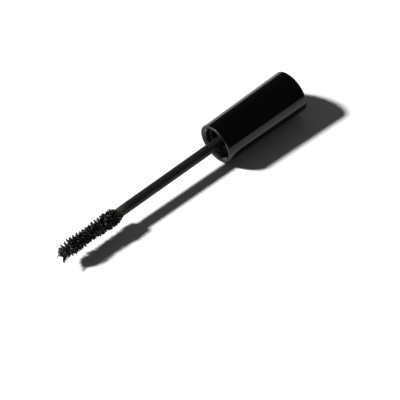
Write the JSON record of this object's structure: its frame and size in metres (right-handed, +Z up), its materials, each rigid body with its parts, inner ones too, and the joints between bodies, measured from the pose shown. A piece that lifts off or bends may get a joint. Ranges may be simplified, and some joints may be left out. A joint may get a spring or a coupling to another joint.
{
  "type": "mascara tube applicator",
  "caption": "Mascara applicator lying on its side: glossy black tapered overcap, inner screw cap, slim rod and hourglass twisted-wire brush loaded with wet black mascara.",
  "frame": {"origin": "centre of the lying object's outline, on the surface that it rests on", "axes": "+Z up; the long axis runs along X, with the overcap's closed end towards +X and the brush's tip towards -X; it leans by about 1 degree in the XZ plane, because the overcap is a slight cone that rests on its side"},
  "size_m": [0.1116, 0.0172, 0.0172],
  "materials": {
    "overcap_lacquer": "gloss",
    "inner_cap_plastic": "satin",
    "washer_elastomer": "matte",
    "rod_plastic": "satin",
    "twisted_wire": "satin",
    "bristle_nylon": "satin",
    "wet_mascara": "gloss"
  },
  "bodies": {
    "root": {"overcap": "overcap_lacquer", "inner_cap": "inner_cap_plastic", "sealing_washer": "washer_elastomer", "rod": "rod_plastic", "wire_strand_a": "twisted_wire", "wire_strand_b": "twisted_wire", "bristles": "bristle_nylon", "mascara_paste": "wet_mascara"}
  },
  "joints": []
}
